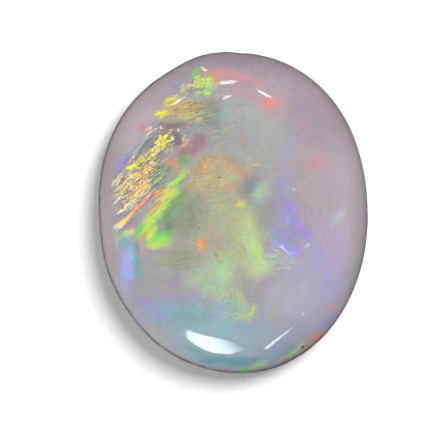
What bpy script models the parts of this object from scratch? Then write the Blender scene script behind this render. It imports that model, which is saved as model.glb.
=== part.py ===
"""Oval opal cabochon: one polished stone, 12 x 10 mm, lying dome up on its flat back.

Run it with: blender --background --python part.py

The stone is a loft. Its outline is an oval with a few swells left by cutting it by hand. The same
outline, drawn in or out and lifted, makes every ring from the back, over the girdle, to the crown
of the dome. Units are metres, +Z is up, and the origin is the middle of the back.
"""

import math

import bmesh
import bpy

# Driving sizes of the stone
LENGTH = 0.0120  # along Y
WIDTH = 0.0100  # along X
HEIGHT = 0.0036  # from the back to the crown of the dome

# The back: a flat face with a bevel round it, so that no sharp edge can chip
BACK_SHARE = 0.905  # the flat face's size, as a share of the outline
BEVEL_SHARE = 0.985  # the outline's share where the bevel meets the rounded girdle
BEVEL_TOP = 0.00042  # height of that line above the back

# The girdle: the widest line of the stone, a narrow upright band
GIRDLE_BOTTOM = 0.00058
GIRDLE_TOP = 0.00082
GIRDLE_TILT = 0.00007  # the girdle isn't quite level: it rises this much on one side
GIRDLE_HIGH_SIDE = 60.0  # degrees from +X, where it is highest

# The dome: a low crown with full shoulders. 2 would be a plain half ellipse.
SHOULDER = 2.6

# Where the outline leaves the plain oval: direction in degrees from +X, rise as a share of the
# radius, and how many degrees it reaches to each side
SWELLS = (
    (42.0, 0.025, 49.0),  # full upper right shoulder
    (104.0, 0.010, 17.0),  # small lump beside the top
    (150.0, 0.030, 41.0),  # full upper left shoulder
    (200.0, 0.009, 24.0),  # left flank
    (261.0, -0.006, 34.0),  # slightly flattened foot
    (315.0, 0.026, 66.0),  # broad lower right side
)

# How finely the solid is faceted
SEGMENTS = 96
DOME_RINGS = 26

OPAL_COLOUR = (0.37, 0.33, 0.39, 1.0)  # milky lilac grey
OPAL_ROUGHNESS = 0.06


def swell(angle):
    """How far the outline stands out at an angle in radians, as a factor on the plain oval."""
    factor = 1.0
    for direction, rise, reach in SWELLS:
        away = (math.degrees(angle) - direction + 180.0) % 360.0 - 180.0
        if abs(away) < reach:
            factor += rise * math.cos(math.pi / 2 * away / reach) ** 2
    return factor


def outline(angle):
    """The point (x, y) of the outline at an angle in radians."""
    factor = swell(angle)
    return WIDTH / 2 * factor * math.cos(angle), LENGTH / 2 * factor * math.sin(angle)


def girdle_lift(angle, height):
    """The lift that a ring gets at an angle: all of it at the girdle, none at back or crown."""
    if height < GIRDLE_BOTTOM:
        weight = height / GIRDLE_BOTTOM
    else:
        weight = min(1.0, (HEIGHT - height) / (HEIGHT - GIRDLE_TOP))
    return GIRDLE_TILT * weight * math.cos(angle - math.radians(GIRDLE_HIGH_SIDE))


def profile():
    """(share of the outline, height) of each ring, from the back up to the last one below the crown."""
    rings = [
        (BACK_SHARE, 0.0),
        (BEVEL_SHARE, BEVEL_TOP),
        (1.0, GIRDLE_BOTTOM),
    ]
    dome_height = HEIGHT - GIRDLE_TOP
    for step in range(DOME_RINGS):
        turn = math.pi / 2 * step / DOME_RINGS
        share = math.cos(turn) ** (2 / SHOULDER)
        rings.append((share, GIRDLE_TOP + dome_height * math.sin(turn)))
    return rings


def add_ring(bm, share, height):
    """The vertices of one ring of the loft, anticlockwise from +X."""
    ring = []
    for segment in range(SEGMENTS):
        angle = 2 * math.pi * segment / SEGMENTS
        x, y = outline(angle)
        ring.append(bm.verts.new((share * x, share * y, height + girdle_lift(angle, height))))
    return ring


def cabochon_mesh():
    """The closed mesh of the stone: flat back, bevel, girdle and dome."""
    bm = bmesh.new()
    rings = [add_ring(bm, share, height) for share, height in profile()]
    bm.faces.new(reversed(rings[0]))
    for lower, upper in zip(rings, rings[1:]):
        for segment in range(SEGMENTS):
            after = (segment + 1) % SEGMENTS
            bm.faces.new((lower[segment], lower[after], upper[after], upper[segment]))
    top_face = bm.faces.new(rings[-1])
    crown = bmesh.ops.poke(bm, faces=[top_face])["verts"][0]
    crown.co = (0.0, 0.0, HEIGHT)
    bmesh.ops.recalc_face_normals(bm, faces=bm.faces)
    mesh = bpy.data.meshes.new("opal_cabochon")
    bm.to_mesh(mesh)
    bm.free()
    mesh.shade_smooth()
    mesh.set_sharp_from_angle(angle=math.radians(35.0))
    return mesh


def opal_material():
    """Polished milky opal."""
    material = bpy.data.materials.new("polished_opal")
    material.use_nodes = True
    shader = material.node_tree.nodes["Principled BSDF"]
    shader.inputs["Base Color"].default_value = OPAL_COLOUR
    shader.inputs["Roughness"].default_value = OPAL_ROUGHNESS
    shader.inputs["Metallic"].default_value = 0.0
    return material


def clear_scene():
    for old in list(bpy.data.objects):
        bpy.data.objects.remove(old)


def main():
    clear_scene()
    mesh = cabochon_mesh()
    mesh.materials.append(opal_material())
    stone = bpy.data.objects.new("opal_cabochon", mesh)
    bpy.context.scene.collection.objects.link(stone)


main()
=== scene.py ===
"""Looks of an oval opal cabochon, seen straight from above on a white table.

The stone is one polished piece of milky opal. Its form is a fine version of the part's own loft, and
its play of colour is a list of flashes, each laid over the milky body by the material's nodes.
Sizes are in metres unless a name or a comment says millimetres.
"""

import math

import bmesh
import bpy
from bpy.props import FloatProperty, FloatVectorProperty, IntProperty, PointerProperty
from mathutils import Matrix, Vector, noise


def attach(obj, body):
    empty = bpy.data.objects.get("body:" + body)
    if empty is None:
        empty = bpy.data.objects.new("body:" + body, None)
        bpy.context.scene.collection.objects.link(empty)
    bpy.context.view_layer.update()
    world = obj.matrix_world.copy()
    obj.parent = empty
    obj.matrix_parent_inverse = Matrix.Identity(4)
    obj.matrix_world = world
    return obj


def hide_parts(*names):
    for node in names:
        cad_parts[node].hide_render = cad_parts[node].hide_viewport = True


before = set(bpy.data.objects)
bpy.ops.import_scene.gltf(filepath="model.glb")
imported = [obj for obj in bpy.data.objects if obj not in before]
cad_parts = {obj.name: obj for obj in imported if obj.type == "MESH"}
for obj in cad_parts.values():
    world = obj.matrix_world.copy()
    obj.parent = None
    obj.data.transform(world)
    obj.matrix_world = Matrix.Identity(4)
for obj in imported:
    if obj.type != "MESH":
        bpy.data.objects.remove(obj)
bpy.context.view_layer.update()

bl_info = {
    "name": "Opal cabochon",
    "version": (1, 0, 0),
    "blender": (4, 5, 0),
    "location": "View3D > Sidebar > Opal",
    "description": "Builds a polished oval opal with play of colour, and a small studio for it",
    "category": "Add Mesh",
}

MM = 0.001
NODE = "opal_cabochon"

# Where the outline leaves the plain oval: direction in degrees from +X, rise as a share of the
# radius, and how many degrees it reaches to each side
SWELLS = (
    (42.0, 0.025, 49.0),  # full upper right shoulder
    (104.0, 0.010, 17.0),  # small lump beside the top
    (150.0, 0.030, 41.0),  # full upper left shoulder
    (200.0, 0.009, 24.0),  # left flank
    (261.0, -0.006, 34.0),  # slightly flattened foot
    (315.0, 0.026, 66.0),  # broad lower right side
)
# Small unevennesses of the girdle alone, in the same form
NICKS = (
    (93.0, 0.003, 4.0),
    (86.0, -0.003, 4.0),
    (357.0, 0.002, 3.0),
)

# The part's profile: heights of the flat back, bevel and girdle, and their shares of the outline
BACK_SHARE = 0.905
BEVEL_SHARE = 0.985
BEVEL_TOP = 0.42 * MM
GIRDLE_BOTTOM = 0.58 * MM
GIRDLE_TOP = 0.82 * MM
GIRDLE_TILT = 0.07 * MM
GIRDLE_HIGH_SIDE = 60.0  # degrees from +X

# What the camera sees: this much of the table across the picture, with the stone a little off
# its middle
VIEW_WIDTH = 16.735 * MM
VIEW_CENTRE = (-0.36 * MM, -0.40 * MM)
LENS = 300.0
SENSOR = 36.0

# The table and the dark card: radius, how many corners they have, height, and the card's colour
TABLE = (350.0 * MM, 96, -0.01 * MM)
DARK_CARD = (120.0 * MM, 48, -0.02 * MM, (0.05, 0.05, 0.05, 1.0))

# Lights: size, distance, and the direction that they come from, as degrees from +X and upwards.
# The key throws the shadow to the lower left, and the side light reaches the flank on that side.
KEY_LIGHT = (76.0 * MM, 150.0 * MM, 47.0, 59.0)
SIDE_LIGHT = (20.0 * MM, 120.0 * MM, 212.0, 5.0)

# The studio light raises every colour on the table by this much, so paint is mixed darker
STUDIO_GAIN = 1.18


def paint(red, green, blue):
    """Paint that looks like this 0 to 255 screen colour in the studio light, as linear RGBA."""
    mixed = []
    for value in (red, green, blue):
        value = value / 255
        linear = value / 12.92 if value <= 0.04045 else ((value + 0.055) / 1.055) ** 2.4
        mixed.append(linear / STUDIO_GAIN)
    return (*mixed, 1.0)


PALETTE = {
    # the milky body
    "milk": paint(176, 167, 174),
    "dusk": paint(160, 147, 158),
    "rose_milk": paint(174, 163, 170),
    "lavender_milk": paint(178, 176, 196),
    "mauve_milk": paint(182, 168, 190),
    "pale_milk": paint(190, 192, 204),
    "blush_milk": paint(192, 178, 184),
    "grey": paint(172, 170, 174),
    "smoke": paint(120, 110, 120),
    "sage": paint(170, 176, 170),
    "khaki": paint(180, 176, 156),
    "olive": paint(184, 188, 150),
    "sand": paint(188, 174, 156),
    "bay": paint(162, 190, 200),
    "lagoon": paint(122, 172, 180),
    "storm": paint(154, 174, 206),
    "slate": paint(136, 144, 156),
    "fern": paint(138, 150, 132),
    "pine": paint(104, 150, 130),
    # tan of the thin left edge, mixed lighter as painted light on the flank that the key light leaves
    # darker
    "tan_rim_and_painted_light": paint(206, 194, 184),
    # dark line of the girdle: partly its duller ground tone, partly painted shade along the steep edge
    "girdle": paint(96, 86, 88),
    "potch": paint(154, 148, 146),
    # the flashes
    "yellow": paint(252, 246, 60),
    "straw": paint(226, 218, 116),
    "ochre": paint(194, 158, 122),
    "cream": paint(244, 238, 196),
    "gold": paint(255, 220, 120),
    "orange": paint(252, 190, 116),
    "amber": paint(222, 162, 84),
    "salmon": paint(228, 150, 126),
    "coral": paint(250, 142, 118),
    "rose": paint(204, 150, 156),
    "pink": paint(212, 150, 152),
    "wine": paint(170, 118, 130),
    "lime": paint(204, 236, 96),
    "leaf": paint(174, 226, 106),
    "green": paint(118, 218, 112),
    "moss": paint(124, 174, 112),
    "pear": paint(194, 222, 162),
    "mint": paint(182, 216, 174),
    "teal": paint(122, 180, 170),
    "sky": paint(170, 194, 236),
    "periwinkle": paint(170, 186, 252),
    "violet": paint(170, 156, 218),
    "heather": paint(164, 160, 200),
    "blue": paint(166, 168, 250),
    "white": paint(240, 240, 250),
    "pit": paint(64, 54, 58),
}

# The fibres that the flashes follow: their direction in degrees, their length and width in mm, and
# how far in mm they draw out a flash that ends in them
FIBRES = {
    "comb": (39.0, 1.10, 0.095, 0.26),
    "brush": (9.0, 0.55, 0.085, 0.26),
    "weft": (-18.0, 0.34, 0.080, 0.20),
    "fan": (-62.0, 0.50, 0.085, 0.20),
    "upright": (88.0, 0.70, 0.110, 0.20),
}

# How each kind of flash ends: how much larger than its typed size it may reach, the fibres that
# draw it out, the grain that frays it, how much, and between which two values of the frayed mask
# it rises from nothing to its full strength
KINDS = {
    "mist": (1.00, "still", "clouds", 0.45, 0.00, 0.80),
    "haze": (1.45, "still", "weave", 0.70, 0.00, 0.95),
    "blade": (1.00, "comb", "dust", 0.50, 0.05, 0.30),
    "brush": (1.15, "brush", "brush", 0.90, 0.02, 0.65),
    "weft": (1.15, "weft", "weft", 0.90, 0.02, 0.65),
    "comb": (1.05, "comb", "comb", 1.00, 0.04, 0.46),
    "fan": (1.20, "fan", "fan", 0.80, 0.00, 0.80),
    "spark": (1.10, "comb", "sparks", 1.30, 0.10, 0.44),
    "line": (1.00, "still", "dust", 0.50, 0.12, 0.42),
    "crackle": (1.00, "still", "crackle", 1.00, 0.05, 0.60),
    "comb thread": (1.00, "still", "comb thread", 1.00, 0.05, 0.60),
    "comb gap": (1.00, "still", "comb gap", 1.00, 0.05, 0.60),
    "brush thread": (1.00, "still", "brush thread", 1.00, 0.05, 0.60),
    "brush gap": (1.00, "still", "brush gap", 1.00, 0.05, 0.60),
    "weft gap": (1.00, "still", "weft gap", 1.00, 0.05, 0.60),
    "fan thread": (1.00, "still", "fan thread", 1.00, 0.05, 0.60),
}

# The middles of the grain at which fine lines run along the fibres, and how fast they fade beside it
LINE_MIDDLES = {" thread": 0.0, " gap": 0.35}
LINE_FALL = -5.0

COLOUR_SHIFT = 0.01  # mm by which full white under a region would shift it

# Which way the stone's edge is warm and carries painted light, and what changes from low to high along
# that way
WARM_SIDE = (-0.88, -0.47, 0.0)
WARM_REACH = (3.2, 4.4)  # mm, where the warm edge sets in
# How much of the tan rim is laid on; it is partly the stone's edge, partly painted light on the lower
# left flank
WARM_SHARE = 0.20
SHADE_REACH = (-4.2, 0.0)  # mm, where the shade of the other sides ends
SHADE_SHARE = 0.31

# Heights in mm between which one finish of the stone, or its painted light and shade, gives way to the
# next
PLAY_START = (0.95, 1.30)  # the flashes seen from above set in
# where the dark girdle line sets in; it is partly painted shade of the steep edge
GIRDLE_LINE_START = (0.66, 1.04)
GROUND_END = (1.22, 1.50)  # the ground girdle gives way to the polish
WARM_END = (1.8, 2.6)
# where the painted shade of the edge fades out
SHADE_END = (1.30, 2.60)

# The flashes, region by region, in the order in which they are laid on: name, centre x and y in
# mm, half length and half width in mm, the length's direction in degrees, paint, strength, kind
FLASHES = {
    "milky body": (
        ("dusky head", 0.8, 6.2, 4.8, 2.4, 0, "dusk", 1.0, "mist"),
        ("blush shoulder", -3.5, 3.3, 1.9, 1.0, 55, "blush_milk", 0.9, "mist"),
        ("rosy right side", 3.3, 1.6, 3.4, 1.7, 90, "rose_milk", 0.8, "mist"),
        ("lavender right side", 3.0, -2.4, 3.0, 1.9, 80, "lavender_milk", 0.9, "mist"),
        ("mauve right side", 3.6, -1.1, 1.7, 0.9, 88, "mauve_milk", 0.8, "mist"),
        ("lilac foot", 2.2, -3.9, 2.2, 1.5, 35, "lavender_milk", 0.7, "mist"),
        ("violet middle", 1.9, -0.7, 1.6, 1.3, -60, "heather", 0.45, "mist"),
        ("sage crown", 0.1, 3.0, 2.6, 1.9, -10, "sage", 0.85, "mist"),
        ("grey crown", 0.9, 2.0, 1.9, 1.4, 0, "grey", 0.7, "mist"),
        # painted shade: the upper right is mixed darker, where the key light falls strongest
        ("dusky upper right", 3.1, 3.7, 2.6, 1.7, -52, "dusk", 0.9, "mist"),
        ("grey left", -2.6, -2.3, 2.3, 1.5, 0, "grey", 0.8, "mist"),
        ("fern left", -1.6, -0.1, 1.4, 1.1, 80, "fern", 0.8, "mist"),
        ("fern below", -1.9, -1.8, 0.9, 0.5, 0, "fern", 0.35, "mist"),
        ("khaki middle", -0.7, 0.8, 2.6, 2.0, 20, "khaki", 0.9, "mist"),
        ("sand middle", -0.7, 1.3, 1.3, 1.0, -20, "sand", 0.75, "mist"),
        ("olive middle", -0.1, -0.9, 2.2, 1.8, 0, "olive", 0.8, "mist"),
        ("sand below the middle", -0.5, -0.9, 1.0, 0.7, 0, "sand", 0.6, "mist"),
        ("bay foot", -0.7, -4.5, 3.4, 2.0, -5, "bay", 1.0, "mist"),
        ("storm foot", -2.8, -3.7, 1.4, 0.9, 10, "storm", 0.85, "mist"),
        ("teal foot", -1.6, -3.8, 1.3, 0.7, 0, "teal", 0.45, "mist"),
        ("mint above the foot", -0.6, -2.5, 1.6, 0.9, 0, "mint", 0.45, "mist"),
        ("plum behind the comb", -3.7, 0.7, 1.4, 0.8, 45, "smoke", 0.45, "mist"),
        ("pale foot right", 2.0, -3.2, 1.4, 1.0, 20, "pale_milk", 0.6, "mist"),
    ),
    "upper left corner": (
        ("violet tinge", -2.05, 4.75, 0.40, 0.25, 20, "heather", 0.5, "mist"),
        ("orange haze", -0.85, 5.02, 0.50, 0.34, 0, "amber", 0.5, "haze"),
        ("salmon haze", -0.40, 5.22, 0.60, 0.26, -12, "rose", 0.8, "haze"),
        ("rose haze", 0.35, 5.06, 0.66, 0.22, -12, "rose", 0.8, "haze"),
        ("rose tail", 1.02, 4.74, 0.22, 0.12, 25, "salmon", 0.6, "haze"),
        ("rose veil", 0.30, 4.70, 0.90, 0.45, 0, "rose", 0.35, "mist"),
        ("salmon heart", -0.72, 4.96, 0.26, 0.18, 0, "salmon", 0.6, "haze"),
        ("green fleck", -1.34, 5.24, 0.26, 0.15, 25, "green", 0.9, "spark"),
        ("peach tick", -1.10, 5.33, 0.15, 0.06, -10, "cream", 0.9, "line"),
        ("gold dust", -1.62, 4.62, 0.42, 0.26, 12, "straw", 0.75, "spark"),
        ("yellow wedge", -1.38, 4.92, 0.24, 0.12, 70, "yellow", 0.85, "blade"),
        ("soft leaf", -0.98, 4.75, 0.42, 0.26, 0, "pear", 0.7, "haze"),
        ("leaf dust", -1.20, 4.78, 0.50, 0.34, 0, "lime", 0.8, "spark"),
        ("corner dust", -1.55, 4.80, 0.50, 0.34, 40, "straw", 0.7, "comb thread"),
        ("dusky arc", -1.42, 4.52, 0.55, 0.08, 10, "slate", 0.7, "line"),
        ("lime lens", -1.07, 4.42, 0.36, 0.13, 3, "leaf", 1.0, "blade"),
        ("lime lens heart", -1.07, 4.43, 0.20, 0.06, 3, "pear", 0.9, "blade"),
        ("pink tick", -2.93, 4.08, 0.12, 0.04, 40, "pink", 0.7, "line"),
    ),
    "yellow brush strokes": (
        ("upper stroke", -2.30, 4.12, 0.40, 0.20, 18, "straw", 0.95, "blade"),
        ("lower stroke", -2.58, 3.67, 0.38, 0.16, 14, "straw", 1.0, "blade"),
        ("lower stroke heart", -2.66, 3.66, 0.22, 0.08, 14, "yellow", 0.6, "blade"),
        ("stroke body", -2.10, 3.85, 0.62, 0.34, 14, "ochre", 0.85, "brush"),
        ("stroke gold", -2.10, 3.90, 0.50, 0.28, 14, "straw", 0.3, "brush"),
        ("stroke tail", -1.60, 3.86, 0.72, 0.34, 2, "ochre", 0.9, "brush"),
        ("stroke moss", -1.42, 3.50, 0.60, 0.24, -4, "straw", 0.45, "brush"),
        ("stroke foot", -2.05, 3.34, 0.60, 0.18, 0, "ochre", 0.5, "brush"),
        ("sage fibres", -0.92, 3.82, 0.60, 0.50, 0, "fern", 0.6, "brush"),
        ("sage fibres below", -0.70, 3.40, 0.60, 0.40, -10, "fern", 0.5, "brush"),
    ),
    "scattered specks under the strokes": (
        ("plum shade", -2.25, 3.20, 0.70, 0.22, 0, "smoke", 0.7, "haze"),
        ("plum gap", -2.08, 2.72, 0.22, 0.36, 0, "smoke", 0.85, "haze"),
        ("pink spot", -3.37, 3.10, 0.22, 0.16, -60, "pink", 0.95, "haze"),
        ("speck one", -3.10, 3.10, 0.14, 0.07, 60, "cream", 0.8, "spark"),
        ("speck two", -2.66, 3.15, 0.22, 0.07, 0, "cream", 0.85, "spark"),
        ("speck three", -2.25, 3.06, 0.16, 0.05, -10, "cream", 0.8, "line"),
        ("speck four", -1.96, 3.02, 0.12, 0.06, 80, "cream", 0.8, "line"),
        ("pale slip", -3.06, 2.93, 0.26, 0.04, 48, "cream", 0.9, "line"),
        ("orange pip one", -1.78, 2.78, 0.10, 0.07, 90, "gold", 0.9, "blade"),
        ("orange pip two", -1.74, 2.60, 0.11, 0.06, 70, "orange", 0.9, "blade"),
        ("orange pip three", -1.93, 2.42, 0.12, 0.09, 20, "orange", 1.0, "blade"),
        ("wine spot", -1.28, 2.60, 0.42, 0.32, 40, "wine", 0.8, "haze"),
        ("wine spot below", -1.76, 2.26, 0.36, 0.24, 30, "wine", 0.7, "haze"),
        ("wine tail", -1.42, 2.30, 0.26, 0.14, 80, "wine", 0.7, "haze"),
    ),
    "bright yellow ridge": (
        ("ridge shade", -2.95, 2.30, 1.30, 0.42, 42, "smoke", 0.7, "haze"),
        ("ridge head", -2.56, 2.74, 0.36, 0.18, 5, "yellow", 1.0, "spark"),
        ("ridge neck", -2.66, 2.50, 0.42, 0.15, 45, "yellow", 1.0, "blade"),
        ("ridge hook", -2.24, 2.74, 0.12, 0.09, 60, "cream", 0.8, "spark"),
        ("ridge olive", -2.40, 2.36, 0.22, 0.18, 0, "straw", 0.6, "spark"),
        ("ridge waist", -2.95, 2.32, 0.36, 0.12, 45, "yellow", 1.0, "blade"),
        ("ridge knee", -3.10, 2.06, 0.30, 0.12, 38, "yellow", 0.95, "comb"),
        ("ridge edge", -2.78, 2.22, 0.40, 0.07, 38, "cream", 0.85, "comb"),
        ("ridge thigh", -3.48, 1.92, 0.42, 0.14, 42, "straw", 0.9, "comb"),
        ("ridge shin", -3.40, 1.72, 0.30, 0.12, 15, "yellow", 0.8, "spark"),
        ("ridge foot", -3.84, 1.63, 0.24, 0.16, 40, "yellow", 0.95, "blade"),
    ),
    "pale slips beside the ridge": (
        ("violet slip", -4.06, 1.95, 0.66, 0.12, 56, "violet", 0.9, "blade"),
        ("violet slip beside", -3.62, 2.56, 0.66, 0.09, 50, "heather", 0.7, "comb"),
        ("pale slip outer", -3.86, 2.34, 0.80, 0.04, 47, "pale_milk", 0.8, "line"),
        ("slate slip", -3.70, 2.18, 0.80, 0.05, 46, "slate", 0.8, "line"),
        ("pale slip inner", -3.62, 2.12, 0.70, 0.03, 46, "cream", 0.7, "line"),
        ("green slip", -3.42, 2.46, 0.66, 0.05, 44, "mint", 0.8, "line"),
        ("pine slip", -3.24, 2.50, 0.56, 0.06, 45, "pine", 0.8, "line"),
        ("pale slip low", -4.28, 1.26, 0.40, 0.04, 46, "cream", 0.7, "line"),
    ),
    "comb of gold rays that stops at the left rim": (
        ("gold cluster top", -2.93, 1.82, 0.14, 0.10, 60, "gold", 0.95, "blade"),
        ("gold cluster", -3.22, 1.56, 0.48, 0.26, 32, "gold", 1.0, "spark"),
        ("orange cluster", -3.38, 1.32, 0.42, 0.28, 20, "gold", 0.95, "spark"),
        ("gap one", -4.00, 1.30, 0.50, 0.05, 39, "smoke", 0.7, "line"),
        ("outer ray", -4.26, 1.16, 0.40, 0.04, 41, "cream", 0.8, "line"),
        ("ray one", -3.95, 1.19, 0.62, 0.08, 37, "gold", 0.95, "blade"),
        ("gap two", -4.10, 0.98, 0.50, 0.04, 40, "smoke", 0.7, "line"),
        ("ray two", -4.02, 0.84, 0.60, 0.08, 40, "straw", 0.95, "blade"),
        ("hand of gold", -3.50, 1.02, 0.50, 0.22, 22, "orange", 1.0, "blade"),
        ("hand of gold, thumb", -3.15, 0.86, 0.28, 0.12, -42, "orange", 0.9, "spark"),
        ("gap three", -4.15, 0.62, 0.42, 0.04, 40, "slate", 0.8, "line"),
        ("ray three", -4.27, 0.46, 0.34, 0.05, 41, "cream", 0.9, "line"),
        ("ray four", -3.62, 0.64, 0.58, 0.16, 36, "gold", 1.0, "blade"),
        ("gap four", -4.00, 0.32, 0.56, 0.05, 38, "pine", 0.85, "line"),
        ("ray five", -3.98, 0.22, 0.62, 0.05, 38, "cream", 0.95, "line"),
        ("gap five", -3.78, 0.20, 0.66, 0.05, 40, "slate", 0.8, "line"),
        ("salmon ray", -3.46, 0.30, 0.66, 0.12, 42, "salmon", 1.0, "blade"),
        ("salmon ray heart", -3.66, 0.10, 0.50, 0.06, 42, "orange", 0.9, "blade"),
        ("gold ray tail", -4.00, -0.24, 0.60, 0.09, 40, "gold", 1.0, "blade"),
        ("last ray", -4.28, -0.50, 0.30, 0.12, 38, "cream", 0.9, "comb"),
        ("mauve gap", -3.80, -0.38, 0.44, 0.12, 42, "dusk", 0.8, "haze"),
    ),
    "between the comb and the long bar": (
        ("pine hollow", -2.72, 1.38, 0.62, 0.38, 60, "pine", 1.0, "haze"),
        ("moss flecks", -2.86, 1.40, 0.30, 0.16, 70, "moss", 0.7, "spark"),
        ("ember", -2.34, 1.86, 0.32, 0.16, 20, "salmon", 0.75, "haze"),
        ("dull ember", -2.02, 1.62, 0.34, 0.24, 30, "ochre", 0.6, "haze"),
        ("moss spot", -1.84, 1.92, 0.28, 0.22, 0, "moss", 0.9, "haze"),
        ("blade shade", -2.10, 1.00, 0.40, 0.07, 28, "pine", 0.7, "line"),
        ("lime blade", -2.10, 1.17, 0.44, 0.13, 32, "leaf", 1.0, "blade"),
        ("lime blade tip", -1.84, 1.40, 0.24, 0.08, 58, "leaf", 0.95, "blade"),
        ("apricot spot", -1.04, 1.76, 0.28, 0.15, 74, "salmon", 0.9, "haze"),
        ("apricot glow", -1.18, 1.70, 0.50, 0.32, 60, "ochre", 0.7, "haze"),
        ("apricot heart", -1.04, 1.74, 0.16, 0.09, 74, "orange", 0.9, "haze"),
        ("red spot", -1.55, 0.90, 0.26, 0.12, 8, "salmon", 0.75, "haze"),
    ),
    "long bar of green and gold": (
        ("bar shade", -2.40, 0.10, 1.50, 0.70, 54, "moss", 0.45, "mist"),
        ("inside of the fan", -2.35, -0.45, 0.60, 0.36, 50, "fern", 0.6, "haze"),
        ("bar green side", -2.22, 0.24, 0.72, 0.22, 54, "moss", 0.7, "haze"),
        ("bar lime side", -2.38, 0.50, 0.56, 0.20, 54, "lime", 0.8, "haze"),
        ("bar lime run", -2.88, -0.10, 0.74, 0.25, 54, "lime", 1.0, "haze"),
        ("bar lime foot", -3.25, -0.55, 0.46, 0.22, 56, "lime", 1.0, "haze"),
        ("bar green rim", -3.50, -0.68, 0.46, 0.11, 62, "green", 0.8, "haze"),
        ("bar yellow ridge", -2.54, 0.56, 0.70, 0.15, 52, "straw", 1.0, "haze"),
        ("bar amber head", -2.72, 0.74, 0.36, 0.15, 42, "amber", 0.95, "comb"),
        ("bar amber side", -2.80, 0.24, 0.44, 0.12, 60, "amber", 0.9, "comb"),
        ("bar amber foot", -3.24, -0.84, 0.30, 0.15, 46, "amber", 0.9, "haze"),
        ("fan", -2.78, -1.03, 0.56, 0.27, 6, "leaf", 1.0, "haze"),
        ("fan heel", -3.02, -0.78, 0.36, 0.16, 64, "lime", 0.9, "haze"),
        ("fan rays", -2.55, -0.80, 0.50, 0.20, 26, "green", 0.7, "brush"),
        ("fan foot", -2.86, -1.22, 0.46, 0.12, 3, "lime", 0.7, "haze"),
        ("fan sand", -3.34, -1.20, 0.16, 0.32, 0, "sand", 0.8, "haze"),
        ("plum notch", -2.32, -0.60, 0.22, 0.13, 30, "smoke", 0.5, "haze"),
    ),
    "lower left": (
        ("lime spot", -3.96, -0.80, 0.26, 0.20, 60, "pear", 1.0, "haze"),
        ("apricot edge", -3.76, -0.70, 0.12, 0.22, 0, "gold", 0.6, "haze"),
        ("sea green", -3.94, -1.20, 0.42, 0.20, 100, "teal", 0.9, "haze"),
        ("pale green rim", -4.32, -1.00, 0.50, 0.12, 95, "mint", 0.6, "haze"),
        ("sea green run", -3.55, -1.90, 0.66, 0.20, 96, "teal", 0.9, "haze"),
        ("dark crack", -3.50, -1.30, 0.34, 0.04, 95, "slate", 0.7, "line"),
        ("periwinkle veil", -3.96, -2.10, 1.06, 0.34, 88, "periwinkle", 0.7, "haze"),
        ("periwinkle heart", -3.98, -2.12, 0.50, 0.20, 92, "periwinkle", 0.95, "haze"),
        ("sky touch", -3.80, -1.60, 0.34, 0.14, 90, "sky", 0.9, "haze"),
        ("violet spot", -3.36, -3.30, 0.40, 0.22, 0, "violet", 0.6, "haze"),
        ("heather spot", -2.05, -3.15, 0.40, 0.26, 0, "heather", 0.4, "haze"),
        ("olive wisp", -2.70, -1.64, 0.50, 0.14, -14, "olive", 0.6, "brush"),
        ("pale wisp", -2.58, -2.10, 0.36, 0.06, -6, "pale_milk", 0.5, "brush"),
        ("olive edge", -2.92, -4.36, 0.14, 0.26, 0, "olive", 0.7, "haze"),
    ),
    "middle of the stone": (
        ("olive wash", -0.55, 0.42, 0.44, 0.36, 0, "olive", 0.7, "haze"),
        ("rust wash", 0.30, 1.46, 0.50, 0.22, -30, "salmon", 0.40, "haze"),
        ("rust spot", -0.10, 0.92, 0.32, 0.22, 0, "salmon", 0.40, "haze"),
        ("sand wash", -0.85, 1.30, 0.80, 0.50, 10, "ochre", 0.25, "haze"),
        ("gold wash", -0.20, 1.88, 0.32, 0.20, -10, "ochre", 0.65, "haze"),
        ("gold wisp", -0.66, 2.04, 0.34, 0.12, -12, "ochre", 0.65, "haze"),
        ("mint wash", -0.20, 1.24, 0.36, 0.18, 30, "mint", 0.4, "haze"),
        ("straw wisp", 0.82, 1.70, 0.24, 0.05, 5, "straw", 0.45, "line"),
        ("straw wisp above", 0.62, 2.05, 0.14, 0.06, 30, "straw", 0.4, "line"),
        ("violet hollow", -1.18, -0.10, 0.50, 0.30, 85, "grey", 0.7, "haze"),
        ("orange spot", -1.20, -1.14, 0.26, 0.15, 112, "amber", 0.7, "haze"),
        ("orange spot heart", -1.18, -1.18, 0.20, 0.10, 112, "orange", 0.7, "spark"),
        ("wisp over the spot", -1.45, -0.62, 0.20, 0.05, 40, "sand", 0.6, "line"),
        ("slate eye", 0.56, 0.90, 0.54, 0.38, 74, "slate", 0.8, "haze"),
        ("slate eye head", 0.72, 1.16, 0.40, 0.22, 30, "slate", 0.4, "haze"),
        ("slate wash", 1.20, -0.10, 1.00, 0.60, 70, "slate", 0.35, "mist"),
        ("sage edge", 1.02, 0.72, 0.60, 0.30, 48, "mint", 0.6, "haze"),
        ("sage edge tail", 0.72, 0.20, 0.50, 0.24, 60, "teal", 0.5, "haze"),
        ("yellow halo", 0.10, 0.30, 0.60, 0.36, 30, "olive", 0.6, "haze"),
        ("yellow eye", 0.27, 0.28, 0.18, 0.12, 40, "straw", 0.8, "haze"),
        ("yellow eye heart", 0.29, 0.24, 0.14, 0.05, 25, "yellow", 0.6, "fan"),
        ("yellow thread", 0.19, 0.44, 0.16, 0.03, 118, "straw", 0.5, "line"),
        ("olive cloud", 0.45, -0.45, 0.80, 0.60, 60, "olive", 0.9, "fan"),
        ("pear cloud", 0.62, -1.10, 1.15, 0.48, -76, "pear", 0.60, "haze"),
        ("pear cloud heart", 0.80, -1.45, 0.60, 0.36, -66, "pear", 0.80, "fan"),
        ("pear cloud glow", 0.84, -1.36, 0.34, 0.18, -66, "lime", 0.45, "haze"),
        ("pear tail", 0.96, -2.00, 0.56, 0.38, 0, "pear", 0.95, "haze"),
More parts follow.
